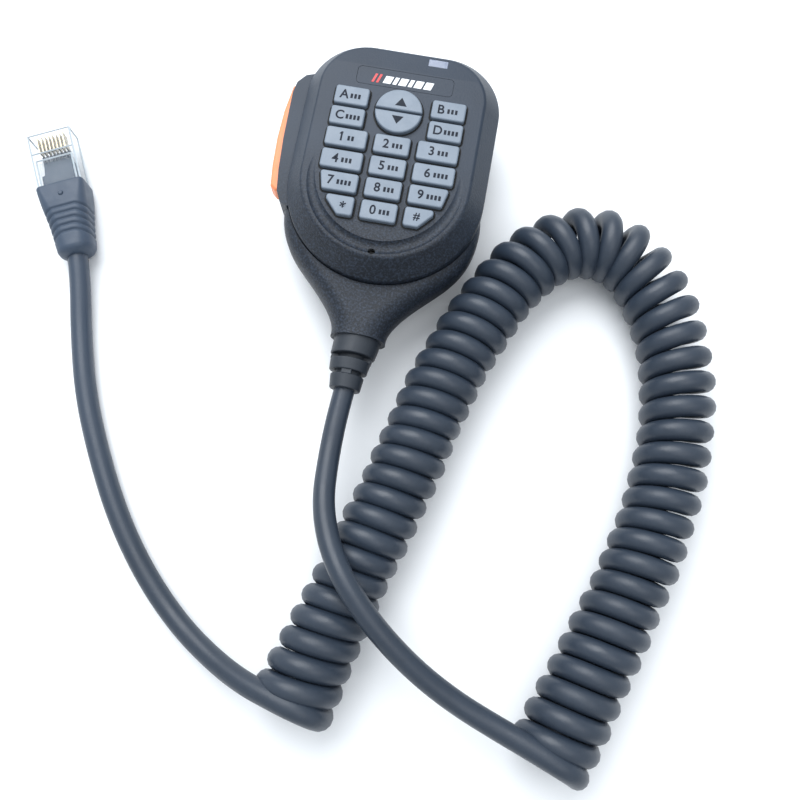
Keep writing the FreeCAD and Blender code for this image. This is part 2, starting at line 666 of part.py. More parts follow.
# ---------------------------------------------------------------- cord
COIL_ROUTE = [(1.7, -135.4), (7.4, -107.5), (16.8, -77.5), (22.7, -50.0), (31.3, -28.2), (39.3, -14.0),
              (50.0, -5.0), (63.4, -4.7), (73.7, -14.2), (81.7, -31.0), (84.5, -53.0), (81.2, -79.0),
              (72.0, -108.5), (62.5, -136.4)]
MIC_LEAD_ROUTE = [(0.0, -57.0, 13.0), (-1.7, -66.0, 12.6), (-2.2, -76.0, 14.0), (-0.7, -86.0, 17.6),
                  (2.9, -95.0, 22.2), (8.2, -103.0, 25.6), (15.0, -110.0, 25.8), (22.6, -116.2, 22.8),
                  (30.8, -121.6, 18.8), (39.6, -126.0, 16.0), (48.8, -129.4, 15.2), (57.2, -132.1, 15.8),
                  (64.4, -134.2, 16.3)]
PLUG_LEAD_ROUTE = [(-80.6, -31.2, 5.5), (-78.2, -39.9, 4.0), (-75.4, -52.1, 2.8), (-70.3, -67.6, 2.8),
                   (-63.0, -82.3, 2.8), (-53.8, -97.7, 2.8), (-43.2, -110.9, 2.8), (-31.6, -121.2, 4.0),
                   (-20.6, -127.2, 7.8), (-11.6, -130.4, 12.0), (-3.4, -132.2, 14.9), (4.8, -133.3, 16.2)]


def route_wire(label, points):
    """Straight runs joined by tangent arcs, each as large as its two runs allow."""
    points = [Vector(*p) for p in points]
    edges = []
    radii = []
    here = points[0]
    for before, corner, after in zip(points, points[1:], points[2:]):
        back, ahead = before - corner, after - corner
        half_turn = (math.pi - back.getAngle(ahead)) / 2
        trim = 0.45 * min(back.Length, ahead.Length)
        radius = trim / math.tan(half_turn)
        start = corner + back.normalize() * trim
        end = corner + ahead.normalize() * trim
        middle = (back + ahead).normalize()
        crown = corner + middle * (radius / math.cos(half_turn) - radius)
        edges.append(Part.LineSegment(here, start).toShape())
        edges.append(Part.Arc(start, crown, end).toShape())
        radii.append(radius)
        here = end
    edges.append(Part.LineSegment(here, points[-1]).toShape())
    print(label, "bend radii:", " ".join(f"{r:.0f}" for r in radii))
    return Part.Wire(edges)


def tube(label, points, radius):
    wire = route_wire(label, points)
    first = wire.Edges[0]
    direction = first.tangentAt(first.FirstParameter)
    circle = Part.Wire(Part.Circle(wire.Edges[0].Vertexes[0].Point, direction, radius).toShape())
    solid = wire.makePipeShell([circle], True, False)
    expected = math.pi * radius**2 * wire.Length
    if abs(solid.Volume - expected) > 0.01 * expected:
        raise RuntimeError(f"{label}: volume {solid.Volume:.0f}, expected {expected:.0f}")
    print(label, f"length {wire.Length:.1f}")
    obj = doc.addObject("Part::Feature", "Tube")
    obj.Shape = solid
    return node(obj, label)


def cords():
    coil_r = size("coil_dia") / 2
    tube("curly_coil", [(x, y, coil_r) for x, y in COIL_ROUTE], coil_r)
    tube("mic_lead", MIC_LEAD_ROUTE, CORD_R)
    tube("plug_lead", PLUG_LEAD_ROUTE, CORD_R)


# ---------------------------------------------------------------- plug, in its own frame
BOOT_SECTIONS = [(0.0, 3.9, 3.9, 3.8), (1.6, 5.0, 4.8, 4.5), (9.0, 5.7, 5.1, 4.0), (15.0, 6.2, 5.2, 2.6),
                 (20.3, 6.55, 4.6, 1.4)]
HOUSING_REAR, BOOT_FRONT, CAVITY_END = 15.2, 20.3, 28.4


def plug():
    """Eight-way modular plug: +Y towards its front face, contacts up, latch down."""
    half_w, half_t = size("plug_wide") / 2, size("plug_tall") / 2
    front = HOUSING_REAR + size("plug_long")
    boot = new_body("plug_boot")
    loft = boot.newObject("PartDesign::AdditiveLoft", "BootSkin")
    sections = [sketch(boot, rounded_polygon(box_points(-w, -t, w, t), r), -y, role="XZ_Plane")
                for y, w, t, r in BOOT_SECTIONS]
    loft.Profile = sections[0]
    loft.Sections = sections[1:]
    doc.recompute()
    cut_box(boot, (-half_w, HOUSING_REAR, -half_t), (half_w, BOOT_FRONT + 1, half_t))
    pad(boot, box_outline(-4.6, -2.1, 4.6, 2.1), -(CAVITY_END - 0.4), CAVITY_END - 0.4 - HOUSING_REAR,
        role="XZ_Plane")
    boot.Placement = PLUG_PLACE

    housing = new_body("plug_housing")
    pad(housing, box_outline(-half_w, HOUSING_REAR, half_w, front), -half_t, 2 * half_t,
        bind="Sizes.plug_tall")
    cut_box(housing, (-4.8, HOUSING_REAR, -2.3), (4.8, CAVITY_END, 2.3))
    cut_box(housing, (-4.3, CAVITY_END, -0.5), (4.3, 31.3, 0.5))
    for x in contact_places():
        cut_box(housing, (x - 0.22, 31.3, -0.6), (x + 0.22, front, half_t))
    housing.Placement = PLUG_PLACE

    blades = [cuboid((x - 0.16, 31.4, -0.5), (x + 0.16, front - 0.6, half_t - 0.45))
              for x in contact_places()]
    group(blades, "plug_contacts").Placement = PLUG_PLACE
    cores = [cylinder(0.45, 2.8, (x, CAVITY_END, 0), Y_AXIS) for x in contact_places()]
    group(cores, "plug_conductors").Placement = PLUG_PLACE

    latch = new_body("plug_latch")
    root_y, tail_y = front - 1.2, 21.2
    top, drop, thick = -half_t - 0.12, 0.95, 0.9
    side = [(tail_y, top - drop - thick), (root_y, top - thick), (root_y, top), (tail_y, top - drop)]
    pad(latch, [line(side[i], side[(i + 1) % 4]) for i in range(4)], -3.0, 6.0, role="YZ_Plane")
    latch.Placement = PLUG_PLACE


def contact_places():
    return [(i - 3.5) * 1.02 for i in range(8)]


# ---------------------------------------------------------------- build, check and export
front_shell()
rear_shell()
front_pieces()
key_caps()
circuit()
capsule()
cord_inside()
talk_bar()
fasteners()
strain_relief()
cords()
plug()
doc.recompute()

faults = [o.Label for o in doc.Objects if "Invalid" in o.State or "Error" in o.State]
for obj in nodes:
    if obj.Shape.isNull() or not obj.Shape.isValid() or not obj.Shape.Solids:
        faults.append(obj.Label)
if faults:
    raise RuntimeError("not built: " + ", ".join(faults))

os.makedirs("parts", exist_ok=True)
for obj in nodes:
    obj.Shape.exportStep(f"parts/{obj.Label}.step")
print(len(nodes), "parts written")
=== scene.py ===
"""Looks of the hand microphone: camera, cord, casing, keys, talk bar, plug, materials, light and floor."""

import json
import math

import bpy
from mathutils import Matrix, Vector


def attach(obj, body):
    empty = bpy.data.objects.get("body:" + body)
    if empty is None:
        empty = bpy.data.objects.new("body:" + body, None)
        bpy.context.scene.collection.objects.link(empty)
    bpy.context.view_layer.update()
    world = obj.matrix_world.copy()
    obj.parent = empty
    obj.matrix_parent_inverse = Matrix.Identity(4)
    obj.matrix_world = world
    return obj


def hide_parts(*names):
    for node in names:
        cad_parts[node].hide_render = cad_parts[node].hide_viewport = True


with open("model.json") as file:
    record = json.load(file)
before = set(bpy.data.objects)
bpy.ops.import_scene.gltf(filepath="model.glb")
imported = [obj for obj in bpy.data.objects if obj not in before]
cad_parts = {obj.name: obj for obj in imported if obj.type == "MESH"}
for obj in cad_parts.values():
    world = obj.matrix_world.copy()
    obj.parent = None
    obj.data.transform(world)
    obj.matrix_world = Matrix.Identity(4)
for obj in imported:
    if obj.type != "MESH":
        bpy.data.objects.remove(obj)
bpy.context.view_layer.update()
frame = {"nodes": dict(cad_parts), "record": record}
scene = bpy.context.scene
nodes = frame["nodes"]
MM = 0.001


# ---------------------------------------------------------------- camera
CAMERA_AT = Vector((0.02071, -0.09846, 0.21128))
CAMERA_AIM = Vector((0.01268, -0.05428, 0.0))
CAMERA_RIGHT = Vector((0.98389, 0.17880, 0.0))


def camera():
    data = bpy.data.cameras.new("camera")
    data.lens = 36
    data.sensor_width = 36
    data.clip_start = 0.01
    obj = bpy.data.objects.new("camera", data)
    scene.collection.objects.link(obj)
    forward = (CAMERA_AIM - CAMERA_AT).normalized()
    right = CAMERA_RIGHT.normalized()
    up = right.cross(forward).normalized()
    right = forward.cross(up)
    turn = Matrix((right, up, -forward)).transposed().to_4x4()
    obj.matrix_world = Matrix.Translation(CAMERA_AT) @ turn
    scene.camera = obj


camera()


# ---------------------------------------------------------------- helpers
def rgb(red, green, blue):
    """Linear colour, with alpha, of an sRGB one from 0 to 255."""
    def linear(v):
        v /= 255
        return v / 12.92 if v <= 0.04045 else ((v + 0.055) / 1.055) ** 2.4
    return (linear(red), linear(green), linear(blue), 1.0)


def place(obj, body="root", smooth=True):
    """Link a new piece, let it ride on a body, and shade it smoothly."""
    scene.collection.objects.link(obj)
    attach(obj, body)
    if smooth and obj.type == "MESH":
        obj.data.polygons.foreach_set("use_smooth", [True] * len(obj.data.polygons))
    return obj


def mesh_object(name, points, faces):
    mesh = bpy.data.meshes.new(name)
    mesh.from_pydata([tuple(p) for p in points], [], faces)
    mesh.update()
    return bpy.data.objects.new(name, mesh)


def bevel(obj, width, segments=3, angle=35):
    mod = obj.modifiers.new("bevel", "BEVEL")
    mod.width = width * MM
    mod.segments = segments
    mod.limit_method = "ANGLE"
    mod.angle_limit = math.radians(angle)
    return mod


# ---------------------------------------------------------------- materials
def shader(name, colour, rough, metallic=0.0, coat=0.0, specular=0.5):
    mat = bpy.data.materials.new(name)
    mat.use_nodes = True
    tree = mat.node_tree
    bsdf = tree.nodes["Principled BSDF"]
    bsdf.inputs["Base Color"].default_value = colour
    bsdf.inputs["Roughness"].default_value = rough
    bsdf.inputs["Metallic"].default_value = metallic
    bsdf.inputs["Coat Weight"].default_value = coat
    bsdf.inputs["Specular IOR Level"].default_value = specular
    return mat, tree, bsdf


def link(tree, a, b):
    tree.links.new(a, b)


def noise(tree, scale, detail=2.0, rough=0.5):
    node = tree.nodes.new("ShaderNodeTexNoise")
    node.inputs["Scale"].default_value = scale
    node.inputs["Detail"].default_value = detail
    node.inputs["Roughness"].default_value = rough
    link(tree, coordinates(tree), node.inputs["Vector"])
    return node.outputs["Fac"]


def coordinates(tree):
    node = tree.nodes.get("places") or tree.nodes.new("ShaderNodeTexCoord")
    node.name = "places"
    return node.outputs["Object"]


def remap(tree, value, low, high, to_low, to_high):
    node = tree.nodes.new("ShaderNodeMapRange")
    node.clamp = True
    link(tree, value, node.inputs["Value"])
    for key, number in (("From Min", low), ("From Max", high), ("To Min", to_low), ("To Max", to_high)):
        node.inputs[key].default_value = number
    return node.outputs["Result"]


def calc(tree, kind, a, b=None):
    node = tree.nodes.new("ShaderNodeMath")
    node.operation = kind
    for i, v in enumerate((a, b)):
        if v is None:
            continue
        if isinstance(v, (int, float)):
            node.inputs[i].default_value = v
        else:
            link(tree, v, node.inputs[i])
    return node.outputs[0]


def mixed(tree, share, a, b):
    """Colour between a and b."""
    node = tree.nodes.new("ShaderNodeMix")
    node.data_type = "RGBA"
    link(tree, share, node.inputs["Factor"])
    for key, v in (("A", a), ("B", b)):
        socket = next(s for s in node.inputs if s.name == key and s.type == "RGBA")
        if isinstance(v, tuple):
            socket.default_value = v
        else:
            link(tree, v, socket)
    return next(s for s in node.outputs if s.type == "RGBA")


def bump(tree, bsdf, height, distance):
    node = tree.nodes.new("ShaderNodeBump")
    node.inputs["Distance"].default_value = distance
    link(tree, height, node.inputs["Height"])
    link(tree, node.outputs["Normal"], bsdf.inputs["Normal"])


def scaled(colour, factor):
    return tuple(min(1.0, c * factor) for c in colour[:3]) + (1.0,)


def worn(tree, bsdf, colour, spread=0.12, patch=90.0, speck=900.0):
    """Colour that drifts a little over the surface, with fine specks."""
    wide = noise(tree, patch, 3.0)
    fine = noise(tree, speck, 2.0)
    share = calc(tree, "ADD", calc(tree, "MULTIPLY", wide, 0.6), calc(tree, "MULTIPLY", fine, 0.4))
    share = remap(tree, share, 0.3, 0.7, 0.0, 1.0)
    drift = mixed(tree, share, scaled(colour, 1 - spread), scaled(colour, 1 + spread))
    link(tree, drift, bsdf.inputs["Base Color"])
    return drift


SHELL = rgb(34, 46, 61)
KEY = rgb(112, 124, 138)
LEGEND = rgb(20, 28, 40)
ORANGE = rgb(240, 142, 94)
CORD = rgb(42, 52, 65)
BOOT = rgb(55, 69, 87)
RELIEF = rgb(36, 43, 52)


def moulded(name, colour, rough, grain, depth, spread=0.1):
    """Moulded plastic: spark-eroded grain of one size, drifting colour and gloss."""
    mat, tree, bsdf = shader(name, colour, rough)
    worn(tree, bsdf, colour, spread)
    fine = noise(tree, 1 / grain, 3.0, 0.6)
    link(tree, remap(tree, noise(tree, 260.0, 3.0), 0.3, 0.7, rough - 0.06, rough + 0.07),
         bsdf.inputs["Roughness"])
    bump(tree, bsdf, fine, depth)
    return mat


def shell_material(name):
    """Casing plastic: towards the lower end its grain grows coarse and its colour is painted darker as shade,
    with bright grain specks partly painted as sparkling highlights.
    """
    mat, tree, bsdf = shader(name, SHELL, 0.5, specular=0.36)
    places = coordinates(tree)
    split = tree.nodes.new("ShaderNodeSeparateXYZ")
    link(tree, places, split.inputs[0])
    # Share of the lower end: it drives the coarser grain, and the painted shade and painted sparkle of the
    # base colour.
    low_end_grain_and_shade = remap(tree, split.outputs["Y"], 0.004, -0.022, 0.0, 1.0)
    wide = noise(tree, 70.0, 3.0)
    fine = noise(tree, 1900.0, 3.0, 0.65)
    cool = mixed(tree, remap(tree, wide, 0.3, 0.7, 0.0, 1.0), scaled(SHELL, 0.92), scaled(SHELL, 1.1))
    # Painted shade: the lower end darkens to this colour, and the bright specks in it are painted sparkling
    # highlights on the grain.
    painted_shade_colour = rgb(24, 30, 39)
    grain_and_painted_shade = mixed(tree, remap(tree, fine, 0.45, 0.68, 0.0, 1.0), scaled(painted_shade_colour, 0.7), scaled(painted_shade_colour, 3.4))
    share = calc(tree, "MULTIPLY", low_end_grain_and_shade, 0.95)
    link(tree, mixed(tree, share, cool, grain_and_painted_shade), bsdf.inputs["Base Color"])
    link(tree, remap(tree, low_end_grain_and_shade, 0.0, 1.0, 0.46, 0.5), bsdf.inputs["Roughness"])
    height = calc(tree, "MULTIPLY", fine, remap(tree, low_end_grain_and_shade, 0.0, 1.0, 0.3, 1.0))
    bump(tree, bsdf, height, 0.0002)
    return mat


def cord_material():
    mat, tree, bsdf = shader("cord", CORD, 0.42)
    drift = worn(tree, bsdf, CORD, 0.1, 60.0, 700.0)
    split = tree.nodes.new("ShaderNodeSeparateXYZ")
    link(tree, coordinates(tree), split.inputs[0])
    # Painted light: the leads grow lighter towards the plug, where brighter light falls on them.
    plug_end_light = remap(tree, split.outputs["X"], -0.045, -0.085, 0.0, 1.0)
    link(tree, mixed(tree, plug_end_light, drift, rgb(57, 69, 85)), bsdf.inputs["Base Color"])
    link(tree, remap(tree, noise(tree, 140.0, 3.0), 0.3, 0.7, 0.36, 0.5), bsdf.inputs["Roughness"])
    bump(tree, bsdf, noise(tree, 1500.0, 2.0), 0.00003)
    return mat


def clear_material():
    mat, tree, bsdf = shader("clear", rgb(150, 162, 172), 0.08)
    bsdf.inputs["Alpha"].default_value = 0.1
    link(tree, remap(tree, noise(tree, 400.0, 2.0), 0.3, 0.7, 0.02, 0.12), bsdf.inputs["Roughness"])
    bump(tree, bsdf, noise(tree, 300.0, 2.0), 0.00002)
    return mat


def metal_material(name, colour, rough):
    mat, tree, bsdf = shader(name, colour, rough, metallic=1.0)
    worn(tree, bsdf, colour, 0.08, 300.0, 1500.0)
    link(tree, remap(tree, noise(tree, 600.0, 2.0), 0.3, 0.7, rough - 0.08, rough + 0.1),
         bsdf.inputs["Roughness"])
    return mat


def lens_material():
    mat, tree, bsdf = shader("lens", rgb(128, 139, 163), 0.22, coat=0.3)
    worn(tree, bsdf, rgb(128, 139, 163), 0.08, 200.0, 900.0)
    bsdf.inputs["Transmission Weight"].default_value = 0.25
    return mat


MATERIALS = {
    "shell": shell_material("shell"),
    "nameplate": shell_material("nameplate"),
    "key": moulded("key", KEY, 0.42, 0.0003, 0.00003, 0.05),
    "ptt": moulded("ptt", ORANGE, 0.45, 0.0004, 0.00003, 0.05),
    "lens": lens_material(),
    "led": moulded("led", rgb(225, 225, 215), 0.3, 0.0004, 0.00001),
    "silicone": moulded("silicone", rgb(190, 195, 198), 0.6, 0.0004, 0.00002),
    "gold": metal_material("gold", rgb(176, 164, 138), 0.3),
    "board": moulded("board", rgb(28, 92, 62), 0.4, 0.0006, 0.00002),
    "chip": moulded("chip", rgb(30, 31, 33), 0.5, 0.0004, 0.00002),
    "screw": metal_material("screw", rgb(120, 122, 126), 0.35),
    "metal": metal_material("metal", rgb(186, 188, 190), 0.3),
    "plunger": moulded("plunger", rgb(40, 42, 45), 0.5, 0.0004, 0.00002),
    "connector": moulded("connector", rgb(226, 222, 206), 0.5, 0.0004, 0.00002),
    "wires": moulded("wires", rgb(92, 98, 108), 0.5, 0.0004, 0.00002),
    "cord": cord_material(),
    "boot": moulded("boot", BOOT, 0.5, 0.0005, 0.00003, 0.07),
    "button": moulded("button", rgb(44, 48, 54), 0.45, 0.0004, 0.00003),
    "clear": clear_material(),
    # Finishes of printed pieces and marks, and the painted shade and painted reflection of rims, which no CAD
    # part has.
    # Painted reflection: light grey of the clear housing's edges where they catch the light.
    "edge_glint": moulded("edge_glint", rgb(186, 196, 203), 0.3, 0.0004, 0.00001, 0.05),
    "relief": moulded("relief", RELIEF, 0.5, 0.0005, 0.00003, 0.07),
    "legend": moulded("legend", LEGEND, 0.85, 0.0003, 0.00001, 0.05),
    "mark_white": moulded("mark_white", rgb(232, 236, 240), 0.45, 0.0003, 0.00001, 0.03),
    "mark_red": moulded("mark_red", rgb(206, 62, 64), 0.45, 0.0003, 0.00001, 0.03),
    # Painted shade: near-black of the gaps around the keys.
    "painted_gap_shade": moulded("painted_gap_shade", rgb(12, 13, 15), 0.8, 0.0004, 0.00001),
}


def paint(obj, key):
    obj.data.materials.clear()
    obj.data.materials.append(MATERIALS[key])


slot_of = {part["node"]: part["material_slot"] for part in frame["record"]["subparts"]}
for name, obj in nodes.items():
    material = MATERIALS[slot_of[name]]
    for material_slot in obj.material_slots:
        material_slot.material = material
    if not obj.material_slots:
        obj.data.materials.append(material)


# ---------------------------------------------------------------- cord
# Points of the leads' middle lines: x, y, z and the cord's radius, in mm.
MIC_LEAD = [(-0.9, -53.0, 13.0, 2.7), (-1.3, -58.0, 12.9, 2.7), (-1.8, -66.0, 12.7, 2.7),
            (-1.6, -76.0, 14.0, 2.7), (-0.6, -86.0, 17.0, 2.7), (2.9, -95.0, 20.8, 2.7),
            (8.2, -103.0, 23.2, 2.7), (15.0, -110.0, 23.3, 2.7), (22.6, -116.2, 21.4, 2.7),
            (30.8, -121.6, 18.4, 2.7), (39.6, -126.0, 16.2, 2.72), (48.8, -129.4, 16.0, 2.74),
            (57.2, -132.1, 17.4, 2.76), (63.5, -134.3, 18.2, 2.78), (67.8, -136.1, 16.4, 2.78)]
PLUG_LEAD = [(-83.6, -26.0, 5.5, 2.68), (-81.1, -31.2, 5.4, 2.68), (-78.5, -39.9, 4.2, 2.7),
             (-75.5, -52.1, 3.0, 2.73), (-70.3, -67.6, 2.85, 2.75), (-63.0, -82.3, 2.85, 2.75),
             (-53.8, -97.7, 2.85, 2.75), (-43.2, -110.9, 2.85, 2.75), (-31.6, -121.2, 4.0, 2.75),
             (-20.6, -127.2, 8.4, 2.75), (-11.6, -130.4, 13.4, 2.75), (-3.4, -132.1, 17.0, 2.76),
             (2.6, -133.4, 18.2, 2.78), (6.9, -134.7, 16.4, 2.78)]
COIL_AXIS = [(1.7, -135.4), (7.4, -107.5), (16.8, -77.5), (22.7, -50.0), (31.3, -28.2), (39.3, -14.0),
             (50.0, -5.0), (63.4, -4.7), (73.7, -14.2), (81.7, -31.0), (84.5, -53.0), (81.2, -79.0),
             (72.0, -108.5), (62.5, -136.4)]
COIL_CORD_R = 2.78
HELIX_R = 6.68
TURNS = 51
STEPS = 14
# Steps of the first and last turn that the leads take the place of, about a fifth of a turn.
LEAD_STEPS = 3
# The coil's pitch in mm against the share of its axis, from the plug lead's end to the microphone lead's.
PITCH = [(0.0, 5.6), (0.08, 5.4), (0.3, 5.3), (0.42, 5.8), (0.55, 6.5), (0.66, 6.1), (0.8, 5.7), (1.0, 5.7)]
# Each end of the coil widens: by how much, over how many turns, and how far its middle moves to a side.
FLARES = ((1.1, 5, -1.0), (0.95, 8, 0.4))
# The turns' radius varies by this much, and the coil stands this far off the surface.
UNEVEN, UNEVEN_RATE = 0.1, 1.7
FLOOR_GAP = 0.05


def nurbs(name, points, resolution):
    """One open curve of order 3, each point x, y, z and radius in mm."""
    data = bpy.data.curves.new(name, "CURVE")
    data.dimensions = "3D"
    spline = data.splines.new("NURBS")
    spline.points.add(len(points) - 1)
    for point, (x, y, z, radius) in zip(spline.points, points):
        point.co = (x * MM, y * MM, z * MM, 1.0)
        point.radius = radius * MM
    spline.order_u = 3
    spline.use_endpoint_u = True
    data.resolution_u = resolution
    return bpy.data.objects.new(name, data)


def read_line(obj):
    """Points of a bare curve, in mm, and its length up to each."""
    bare = bpy.data.objects.new("bare", obj.data.copy())
    bare.data.bevel_depth = 0
    mesh = bpy.data.meshes.new_from_object(bare)
    line = [v.co / MM for v in mesh.vertices]
    bpy.data.meshes.remove(mesh)
    bpy.data.curves.remove(bare.data)
    along = [0.0]
    for a, b in zip(line, line[1:]):
        along.append(along[-1] + (b - a).length)
    return line, along


def between(table, x):
    for (x0, y0), (x1, y1) in zip(table, table[1:]):
        if x <= x1:
            return y0 + (y1 - y0) * (x - x0) / (x1 - x0)
    return table[-1][1]


def helix_points():
    """Control points of the curly part, from the microphone lead's end back to the plug lead's."""
    route = nurbs("axis_route", [(x, y, 0, 1) for x, y in COIL_AXIS], 40)
    line, along = read_line(route)
    bpy.data.curves.remove(route.data)
    angles = [0.0]
    for i in range(1, len(line)):
        share = (along[i] + along[i - 1]) / 2 / along[-1]
        angles.append(angles[-1] + (along[i] - along[i - 1]) / between(PITCH, share))
    angles = [a * TURNS / angles[-1] for a in angles]
    # A curve of order 3 cuts inside its control points, so they stand this much further out.
    shrink = 0.75 + 0.25 * math.cos(2 * math.pi / STEPS)
    points = []
    at = 0
    for k in range(LEAD_STEPS, TURNS * STEPS - LEAD_STEPS + 1):
        turn = k / STEPS
        while at < len(angles) - 2 and angles[at + 1] < turn:
            at += 1
        part = (turn - angles[at]) / (angles[at + 1] - angles[at])
        centre = line[at].lerp(line[at + 1], part)
        ahead = (line[at + 1] - line[at]).normalized()
        side = Vector((ahead.y, -ahead.x, 0))
        radius = HELIX_R + UNEVEN * math.sin(turn * UNEVEN_RATE)
        for (most, over, aside), away in zip(FLARES, (turn, TURNS - turn)):
            flare = most * max(0.0, 1 - away / over)
            radius += flare
            centre = centre + side * (flare * aside)
        angle = 2 * math.pi * turn
        reach = radius / shrink
        spot = centre + side * (reach * math.sin(angle))
        height = radius + COIL_CORD_R + FLOOR_GAP + reach * math.cos(angle)
        points.append((spot.x, spot.y, height, COIL_CORD_R))
    points.reverse()
    return points


def make_cord():
    cord = nurbs("cord", MIC_LEAD + helix_points() + PLUG_LEAD[::-1], 6)
    cord.data.bevel_depth = 1.0
    cord.data.bevel_resolution = 5
    cord.data.use_fill_caps = True
    _, along = read_line(cord)
    print("cord length", round(along[-1] / 1000, 4))
    place(cord)
    cord.data.materials.append(MATERIALS["cord"])
    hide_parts("mic_lead", "curly_coil", "plug_lead")
    return cord


# ---------------------------------------------------------------- rings along a line
def rounded_ring(half_w, half_t, corner, count=8):
    """Outline of a rounded rectangle as (across, up) points, starting at its right side."""
    corner = min(corner, half_w - 0.01, half_t - 0.01)
    points = []
    for cx, cy, start in ((1, 1, 0), (-1, 1, 90), (-1, -1, 180), (1, -1, 270)):
        for i in range(count + 1):
            angle = math.radians(start + 90 * i / count)
            points.append((cx * (half_w - corner) + corner * math.cos(angle),
                           cy * (half_t - corner) + corner * math.sin(angle)))
    return points


def skin(rings):
    """Faces that join rings of one size into a closed piece."""
    count = len(rings[0])
    points = [p for ring in rings for p in ring]
    faces = []
    for r in range(len(rings) - 1):
        for i in range(count):
            j = (i + 1) % count
            faces.append((r * count + i, r * count + j, (r + 1) * count + j, (r + 1) * count + i))
    faces.append(tuple(reversed(range(count))))
    faces.append(tuple((len(rings) - 1) * count + i for i in range(count)))
    return points, faces


def joined(pieces):
    points, faces = [], []
    for some_points, some_faces in pieces:
        start = len(points)
        points += some_points
        faces += [tuple(start + i for i in face) for face in some_faces]
    return points, faces


def shaded(obj, body, slot, width=0.0, angle=35, material=None):
    """Place a piece, give it its finish, round its edges and shade it smoothly between them."""
    place(obj, body)
    paint(obj, material or slot)
    obj.data.set_sharp_from_angle(angle=math.radians(angle))
    if width:
        bevel(obj, width, angle=angle)
    return obj


# ---------------------------------------------------------------- strain relief
RELIEF_START, RELIEF_BEND, RELIEF_Z = -43.7, 8.0, 13.0


def relief_shift(y):
    """How far the sleeve bends to the left of its line, at a distance from the casing."""
    share = max(0.0, min(1.0, (RELIEF_START - y) / RELIEF_BEND))
    return -0.4 - 0.8 * share * share * (3 - 2 * share)


def relief_collar(y0, r0, y1, r1, half_w=None, half_t=None):
    rings = []
    steps = 6
    for i in range(steps + 1):
        share = i / steps
        y = y0 + (y1 - y0) * share
        r = r0 + (r1 - r0) * share
        outline = rounded_ring(half_w or r, half_t or r, 0.3 if half_w else r, 10)
        rings.append([((relief_shift(y) + u) * MM, y * MM, (RELIEF_Z + v) * MM) for u, v in outline])
    return skin(rings)


def strain_relief():
    pieces = [relief_collar(-43.2, 6.1, -48.15, 5.7), relief_collar(-49.4, 5.2, -52.4, 4.85),
              relief_collar(-53.4, 4.35, -57.0, 3.95), relief_collar(-47.5, 3.5, -54.0, 3.4),
              relief_collar(-48.0, 5.4, -49.6, 5.2, 5.2, 1.4),
              relief_collar(-52.1, 1.3, -53.6, 1.3, 1.3, 4.4)]
    obj = mesh_object("strain_relief_bent", *joined(pieces))
    shaded(obj, "root", "boot", 0.28, material="relief")
    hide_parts("strain_relief")
    return obj


# ---------------------------------------------------------------- plug
PLUG_TURN = math.radians(26.9)
PLUG_AT = (-80.6, -31.2, 5.5)
# The boot's sections from its rear to its front: y, shift across, half width, half height, corner.
BOOT = [(-0.35, -0.35, 3.2, 3.2, 3.1), (0.0, -0.35, 3.9, 3.8, 3.7), (0.45, -0.32, 4.55, 4.4, 4.0),
        (1.3, -0.28, 4.95, 4.8, 4.2), (3.0, -0.2, 5.1, 4.9, 4.1), (6.0, -0.12, 5.3, 5.0, 4.0),
        (9.0, -0.05, 5.55, 5.1, 3.7), (12.0, 0.0, 5.9, 5.15, 3.1), (15.0, 0.0, 6.2, 5.15, 2.5),
        (18.0, 0.0, 6.45, 4.85, 1.8), (20.0, 0.0, 6.55, 4.6, 1.4), (20.3, 0.0, 6.4, 4.45, 1.3)]
GROOVES = (4.2, 6.1, 8.0, 9.9, 11.8)
GROOVE_DEEP, GROOVE_WIDE, GROOVE_BOW = 0.42, 0.33, 1.3


def in_plug(x, y, z):
    """A point of the plug's own frame in mm, y to its front, as metres of the part's frame."""
    cos, sin = math.cos(PLUG_TURN), math.sin(PLUG_TURN)
    at_x, at_y, at_z = PLUG_AT
    return ((at_x + x * cos - y * sin) * MM, (at_y + x * sin + y * cos) * MM, (at_z + z) * MM)


def boot_section(y):
    for a, b in zip(BOOT, BOOT[1:]):
        if y <= b[0]:
            share = (y - a[0]) / (b[0] - a[0])
            return [u + (v - u) * share for u, v in zip(a[1:], b[1:])]
    return BOOT[-1][1:]


def plug_boot():
    """Boot with grooves that bow towards its front in the middle of each face."""
    rings = []
    y = BOOT[0][0]
    stations = []
    while y < BOOT[-1][0]:
        stations.append(y)
        y += 0.11 if 2.4 < y < 13.8 else 0.3
    stations.append(BOOT[-1][0])
    for y in stations:
        shift, half_w, half_t, corner = boot_section(y)
        ring = []
        for u, v in rounded_ring(half_w, half_t, corner, 9):
            bow = GROOVE_BOW * (1 - min(1.0, abs(u) / half_w) ** 2)
            depth = 0.0
            for at in GROOVES:
                away = (y - at - bow) / GROOVE_WIDE
                depth = max(depth, GROOVE_DEEP * math.exp(-away * away))
            shrink = 1 - depth / max(half_w, half_t)
            ring.append(in_plug(shift + u * shrink, y, v * shrink))
        rings.append(ring)
    obj = mesh_object("plug_boot_ribbed", *skin(rings))
    shaded(obj, "root", "boot", angle=60)
    tongue = [[in_plug(aside + u, y, v) for u, v in rounded_ring(w, t, 0.5, 3)]
              for y, aside, w, t in ((19.0, 0.0, 4.75, 2.25), (24.3, 0.0, 4.7, 2.25), (24.6, 0.35, 4.2, 2.2),
                                     (28.2, 0.4, 3.9, 2.0))]
    tongue_obj = mesh_object("plug_tongue", *skin(tongue))
    shaded(tongue_obj, "root", "boot", 0.15)
    pip = [[in_plug(0.2 + r * math.cos(a), 16.6 + r * math.sin(a), z)
            for a in [2 * math.pi * i / 20 for i in range(20)]]
           for r, z in ((0.75, 4.6), (0.7, 5.2), (0.45, 5.42))]
    pip_obj = mesh_object("plug_pip", *skin(pip))
    shaded(pip_obj, "root", "boot", 0.08)
    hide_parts("plug_boot")
    return [obj, tongue_obj, pip_obj]


RIM_HALF = 0.18


